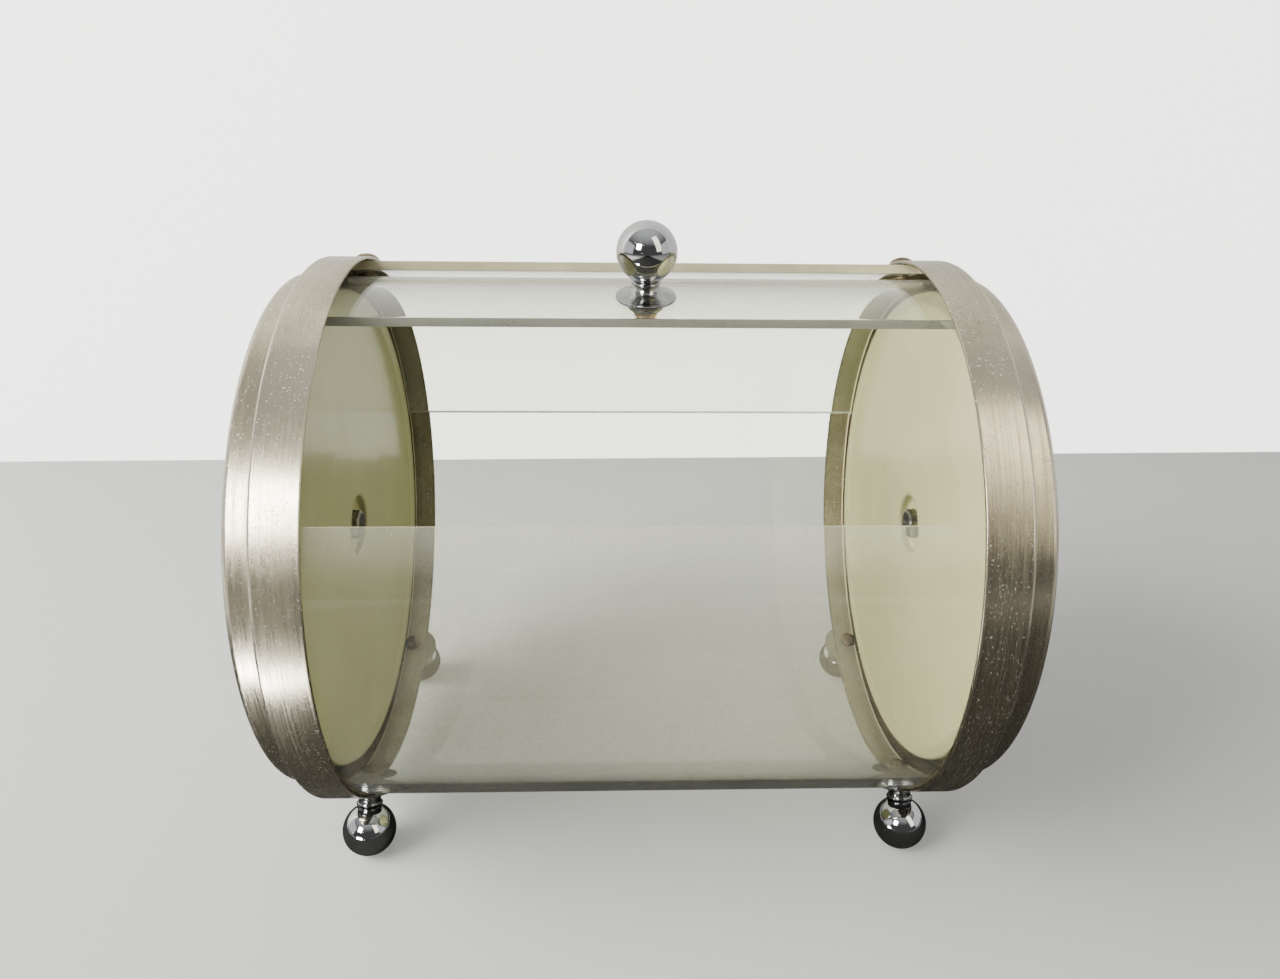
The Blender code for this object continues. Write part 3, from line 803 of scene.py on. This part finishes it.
def rear_fixing(side, word, finishes):
    """The upper fixing at the back of a rim: slotted screw inside, low domed nut outside."""
    place = radial(side * SCREW_STATION, REAR_SCREW_ANGLE)
    seat = RIM_RADIUS + FIT_GAP
    slotted_screw(
        word + "_upper_screw", seat + REAR_SCREW_END, (HEAD_SEAT, HEAD_RADIUS, HEAD_HEIGHT),
        25.0 * side, finishes["dark_steel"], "housing", word + "_rear_screw", place)
    floor = seat + REAR_SCREW_END + FIT_GAP
    outline = [(seat, SHANK_HOLE), (seat, REAR_NUT_RADIUS)]
    for index in range(1, 14):
        lean = math.radians(90.0 * index / 14.0)
        outline.append((
            seat + REAR_NUT_HEIGHT * math.sin(lean), REAR_NUT_RADIUS * math.cos(lean)))
    outline += [(seat + REAR_NUT_HEIGHT, 0.0), (floor, 0.0), (floor, SHANK_HOLE)]
    add_piece(
        word + "_upper_nut", turned_mesh(outline, SMALL_STEPS), [finishes["dark_steel"]],
        "housing", [word + "_rear_nut"], place)


def foot(side, word, where, angle, finishes):
    """A ball foot, its neck, and the slotted screw that comes down into it from inside."""
    place = radial(side * SCREW_STATION, angle)
    corner = where + "_" + word
    turn = 30.0 * side + (20.0 if where == "front" else 75.0)
    ball_base(
        "neck_" + corner, finishes["worn_chrome"], "housing", "foot_base_" + corner, place,
        RIM_RADIUS + FIT_GAP)
    ball(
        "ball_" + corner, finishes["chrome"], "housing", "foot_ball_" + corner,
        place @ Matrix.Translation((0.0, 0.0, FOOT_REACH)), True)
    slotted_screw(
        "screw_" + corner, FOOT_REACH - BALL_SCREW_END, (HEAD_SEAT, HEAD_RADIUS, HEAD_HEIGHT),
        turn, finishes["dark_steel"], "housing", "foot_screw_" + corner, place)


def knob(finishes):
    """The lid's ball, its neck, and the cup washer and brass screw under the lid."""
    place = radial(KNOB_STATION, KNOB_ANGLE)
    ball_base(
        "knob_neck", finishes["worn_chrome"], "lid", "knob_base", place, LID_OUTER + FIT_GAP)
    ball(
        "knob_top", finishes["chrome"], "lid", "knob_ball",
        place @ Matrix.Translation((0.0, 0.0, KNOB_REACH)), False)
    low = CUP_TOP - CUP_HEIGHT
    cup = [(CUP_TOP, SHANK_HOLE), (CUP_TOP, CUP_RADIUS - 0.0002), (CUP_TOP - 0.0003, CUP_RADIUS)]
    cup += eased([
        (CUP_TOP - 0.0006, CUP_RADIUS), (CUP_TOP - 0.0010, 0.96 * CUP_RADIUS),
        (low + 0.0003, 0.82 * CUP_RADIUS), (low, 0.72 * CUP_RADIUS)], 4)
    cup += [(low, SHANK_HOLE)]
    add_piece(
        "knob_cup", turned_mesh(cup, SMALL_STEPS), [finishes["worn_chrome"]], "lid",
        ["knob_washer"], place)
    head = (low - FIT_GAP, KNOB_HEAD_RADIUS, KNOB_HEAD_HEIGHT)
    slotted_screw(
        "knob_brass_screw", KNOB_REACH - BALL_SCREW_END, head, 40.0, finishes["brass"], "lid",
        "knob_screw", place)


# ---------------------------------------------------------------- stage, lights and camera

def plane(name, width, depth, place, finish):
    """A flat rectangle that is part of the stage."""
    mesh = bmesh.new()
    corners = ((-1, -1), (1, -1), (1, 1), (-1, 1))
    mesh.faces.new([mesh.verts.new((x * width / 2.0, y * depth / 2.0, 0.0)) for x, y in corners])
    data = bpy.data.meshes.new(name)
    mesh.to_mesh(data)
    mesh.free()
    data.materials.append(finish)
    made = bpy.data.objects.new(name, data)
    bpy.context.scene.collection.objects.link(made)
    made.matrix_world = place


def stage():
    """A plain pale floor and a pale wall behind that is clear from its far side.

    Both are darker in reflections than to the eye, so that the metals keep their contrast.
    """
    floor = Shader("stage_floor")
    mirrored = floor.mirrored()
    near = floor.span(
        floor.math("ABSOLUTE", floor.from_axis()[0]), FLOOR_FAR, FLOOR_NEAR)
    reflected = floor.blend(near, FLOOR_MIRRORED_FAR, FLOOR_MIRRORED_NEAR)
    floor.surface(
        Base_Color=floor.blend(mirrored, FLOOR_SEEN, reflected), Roughness=0.6,
        Specular_IOR_Level=0.0)
    dimmed = floor.times(mirrored, near)
    floor.surface(
        Emission_Color=FLOOR_GLOW_COLOUR,
        Emission_Strength=floor.math("MULTIPLY_ADD", dimmed, -FLOOR_GLOW, FLOOR_GLOW))
    plane("stage_floor", FLOOR_WIDTH, FLOOR_WIDTH, Matrix(), floor.data)
    wall = Shader("stage_wall")
    glow = wall.math("MULTIPLY_ADD", wall.mirrored(), WALL_MIRRORED - WALL_SEEN, WALL_SEEN)
    glow = wall.math("MULTIPLY_ADD", wall.lighting(), WALL_LIGHTING - WALL_MIRRORED, glow)
    wall.surface(Base_Color=WALL_COLOUR, Roughness=0.9)
    wall.surface(Emission_Color=WALL_GLOW_COLOUR, Emission_Strength=glow)
    clear = wall.node("ShaderNodeBsdfTransparent")
    behind = wall.node("ShaderNodeNewGeometry").outputs["Backfacing"]
    one_sided = wall.mix_shaders(behind, wall.principled.outputs[0], clear.outputs[0])
    wall.join(one_sided, wall.output.inputs["Surface"])
    middle = Matrix.Translation((0.0, WALL_DISTANCE, WALL_HEIGHT / 2.0))
    skew = Matrix.Rotation(math.radians(WALL_SKEW), 4, "Z")
    upright = Matrix.Rotation(math.pi / 2.0, 4, "X")
    plane("stage_wall", WALL_WIDTH, WALL_HEIGHT, middle @ skew @ upright, wall.data)


def softbox(name, place, size, radiance, mirrored=False, lighting=False, colour=(1.0, 1.0, 1.0)):
    """A soft rectangular light aimed at the drum, seen in reflections or lighting dull surfaces."""
    data = bpy.data.lights.new(name, "AREA")
    data.shape = "RECTANGLE"
    data.size, data.size_y = size
    data.energy = radiance * math.pi * size[0] * size[1]
    data.color = colour
    light = bpy.data.objects.new(name, data)
    bpy.context.scene.collection.objects.link(light)
    light.location = place
    light.rotation_mode = "QUATERNION"
    towards = Vector((0.0, 0.0, AXIS_HEIGHT)) - Vector(place)
    light.rotation_quaternion = towards.to_track_quat("-Z", "Y")
    light.visible_camera = False
    light.visible_transmission = False
    light.visible_glossy = mirrored
    light.visible_diffuse = lighting


def lights():
    """A window to the front left, soft panels, and a room dark at eye level and pale above."""
    softbox(
        "window_light", place=(-0.74, -1.06, 0.84), size=(0.42, 0.47), radiance=44.0,
        mirrored=True, colour=(1.0, 0.99, 0.96))
    softbox(
        "right_panel", place=(0.88, -0.90, 1.08), size=(0.52, 1.50), radiance=3.0,
        mirrored=True, colour=(1.0, 0.91, 0.72))
    softbox(
        "low_strip", place=(-0.19, -0.23, 0.004), size=(0.075, 0.05), radiance=42.0,
        mirrored=True)
    softbox(
        "left_fill", place=(-1.25, -0.45, 0.95), size=(1.2, 1.0), radiance=14.0,
        lighting=True, colour=(1.0, 0.98, 0.92))
    softbox(
        "overhead_light", place=(-0.7, 0.1, 1.5), size=(1.6, 1.8), radiance=0.65,
        lighting=True, colour=(1.0, 0.99, 0.97))
    for side in (-1.0, 1.0):
        softbox(
            "side_panel", place=(2.2 * side, -0.2, 0.8), size=(2.6, 1.3), radiance=0.8,
            mirrored=True)
    softbox(
        "back_fill", place=(0.5, 1.7, 1.2), size=(1.2, 0.9), radiance=2.0, mirrored=True)
    room = Shader("studio", "worlds")
    upward = room.node("ShaderNodeSeparateXYZ")
    room.join(room.node("ShaderNodeTexCoord").outputs["Generated"], upward.inputs[0])
    ceiling = room.span(upward.outputs["Z"], 0.50, 1.0, ROOM_EYE_LEVEL, ROOM_CEILING)
    ceiling = room.times(ceiling, room.span(room.lighting(), 0.0, 1.0, 1.0, ROOM_LIGHTING))
    reflected = room.combine(ceiling, ceiling, ceiling)
    colour = room.blend(room.mirrored(), ROOM_SEEN, reflected)
    room.join(colour, room.tree.nodes["Background"].inputs["Color"])
    bpy.context.scene.world = room.data


def camera():
    """The camera at the viewer's place, in front of the drum and above it."""
    across, along = math.sin(CAMERA_YAW), math.cos(CAMERA_YAW)
    flat = math.cos(CAMERA_PITCH)
    ahead = Vector((-across * flat, along * flat, -math.sin(CAMERA_PITCH)))
    level = Vector((along, across, 0.0))
    above = level.cross(ahead)
    right = math.cos(CAMERA_ROLL) * level + math.sin(CAMERA_ROLL) * above
    upward = -math.sin(CAMERA_ROLL) * level + math.cos(CAMERA_ROLL) * above
    data = bpy.data.cameras.new("camera")
    data.lens = CAMERA_LENS
    data.sensor_width = CAMERA_SENSOR
    data.clip_start = 0.01
    data.clip_end = 50.0
    made = bpy.data.objects.new("camera", data)
    bpy.context.scene.collection.objects.link(made)
    turn = Matrix((right, upward, -ahead)).transposed().to_4x4()
    stand = CAMERA_OFFSET + Vector((0.0, 0.0, AXIS_HEIGHT))
    made.matrix_world = Matrix.Translation(stand) @ turn
    bpy.context.scene.camera = made


# ---------------------------------------------------------------- the whole object

def make_finishes():
    """Every finish on the object, by a short name."""
    return {
        "nickel": nickel(
            "spun_nickel", bright=(0.615, 0.567, 0.425), dull=(0.36, 0.322, 0.225),
            base_roughness=0.18, wear=0.85),
        # A darker, rougher copy of the nickel for the caps' inward faces: its darkness is painted
        # shade.
        "nickel_shaded_inside": nickel(
            "spun_nickel_shaded_inside", bright=(0.42, 0.36, 0.235), dull=(0.22, 0.18, 0.11),
            base_roughness=0.34, wear=1.0),
        "chrome": chrome_plate("ball_chrome", (0.58, 0.59, 0.60), smoothness=0.03, wear=0.2),
        "worn_chrome": chrome_plate(
            "worn_chrome", (0.43, 0.435, 0.44), smoothness=0.05, wear=1.0),
        "cream": cream_enamel(),
        "steel": plain_metal("zinc_plate", (0.46, 0.45, 0.40), (0.06, 0.055, 0.045), 0.22),
        "dark_steel": plain_metal("browned_steel", (0.32, 0.25, 0.17), (0.09, 0.07, 0.05), 0.32),
        "brass": plain_metal("old_brass", (0.64, 0.42, 0.18), (0.38, 0.24, 0.10), 0.28),
        "clear": clear_sheet(
            "clear_plastic", tint=(0.95, 0.96, 0.905), roughness=0.008, haze=(0.008, 0.030),
            haze_colour=(0.74, 0.74, 0.62), passing_colour=(0.93, 0.94, 0.91)),
        "clear_edge": clear_sheet(
            "clear_plastic_edge", tint=(0.97, 0.95, 0.84), roughness=0.12, haze=(0.50, 0.78),
            haze_colour=(0.93, 0.86, 0.56), passing_colour=(0.80, 0.80, 0.74)),
        "lid_edge": clear_sheet(
            "lid_plastic_edge", tint=(0.93, 0.95, 0.90), roughness=0.10, haze=(0.34, 0.62),
            haze_colour=(0.62, 0.64, 0.54), passing_colour=(0.80, 0.80, 0.74)),
    }


def main():
    finishes = make_finishes()
    curved_sheet(
        "clear_body_sheet", (BODY_INNER, BODY_OUTER), BODY_ANGLES, BODY_HALF_LENGTH,
        [finishes["clear"], finishes["clear_edge"]], "housing")
    curved_sheet(
        "lid_sheet", (LID_INNER, LID_OUTER), LID_ANGLES, LID_HALF_LENGTH,
        [finishes["clear"], finishes["lid_edge"]], "lid")
    for side, word in ((-1, "left"), (1, "right")):
        end_cap(side, word, finishes)
        inner_disc(side, word, finishes)
        centre_fixing(side, word, finishes)
        rear_fixing(side, word, finishes)
        for where, angle in FOOT_ANGLES.items():
            foot(side, word, where, angle, finishes)
    knob(finishes)
    stage()
    lights()
    camera()


main()
